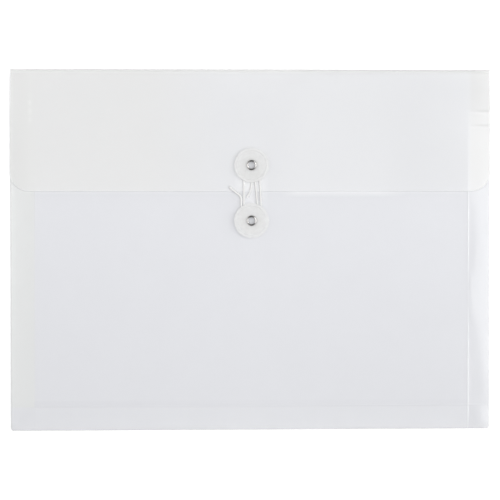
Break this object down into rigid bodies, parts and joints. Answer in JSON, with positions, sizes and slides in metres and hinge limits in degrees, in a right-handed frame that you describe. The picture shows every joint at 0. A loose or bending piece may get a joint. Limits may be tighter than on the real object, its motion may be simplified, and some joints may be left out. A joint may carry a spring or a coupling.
{
  "type": "string tie envelope",
  "caption": "Flat clear film document envelope with a fold-over flap, gusseted sides and bottom, and a string wound round button discs to hold it shut.",
  "frame": {"origin": "middle of the outline, on the back panel's outer face, which lies on the table", "axes": "+X across the envelope to the right as its front is seen, +Y towards the folded top edge, +Z out of the front"},
  "size_m": [0.3302, 0.2476, 0.0099],
  "materials": {
    "clear_film": "hazy clear polypropylene film, smooth and glossy",
    "button_plastic": "cloudy clear moulded plastic, satin",
    "eyelet_metal": "bright nickel plate",
    "white_string": "white twisted string"
  },
  "bodies": {
    "back": {"back_panel": "clear_film", "top_fold": "clear_film", "left_gusset": "clear_film", "right_gusset": "clear_film", "bottom_gusset": "clear_film"},
    "front": {"front_panel": "clear_film", "front_eyelet": "eyelet_metal", "front_washer": "clear_film"},
    "flap": {"flap_panel": "clear_film", "flap_eyelet": "eyelet_metal", "flap_washer": "clear_film", "tie_string": "white_string", "string_knot": "white_string", "string_end": "white_string"},
    "front_button": {"front_disc": "button_plastic", "front_spacer": "button_plastic"},
    "flap_button": {"flap_disc": "button_plastic", "flap_spacer": "button_plastic"}
  },
  "joints": [
    {"name": "pocket_swell", "type": "hinge", "parent": "back", "child": "front", "pos_m": [0, 0.12058, 0.00325], "axis": [-1, 0, 0], "range_deg": [0, 4.8], "deforming": ["left_gusset", "right_gusset", "bottom_gusset", "top_fold"]},
    {"name": "flap_open", "type": "hinge", "parent": "front", "child": "flap", "pos_m": [0, 0.12058, 0.00325], "axis": [-1, 0, 0], "range_deg": [0, 170], "deforming": ["top_fold", "tie_string", "string_knot", "string_end"]},
    {"name": "flap_button_spin", "type": "hinge", "parent": "flap", "child": "flap_button", "pos_m": [0, 0.05803, 0.0085], "axis": [0, 0, 1], "continuous": true},
    {"name": "front_button_spin", "type": "hinge", "parent": "front", "child": "front_button", "pos_m": [0, 0.02003, 0.0085], "axis": [0, 0, 1], "continuous": true}
  ]
}
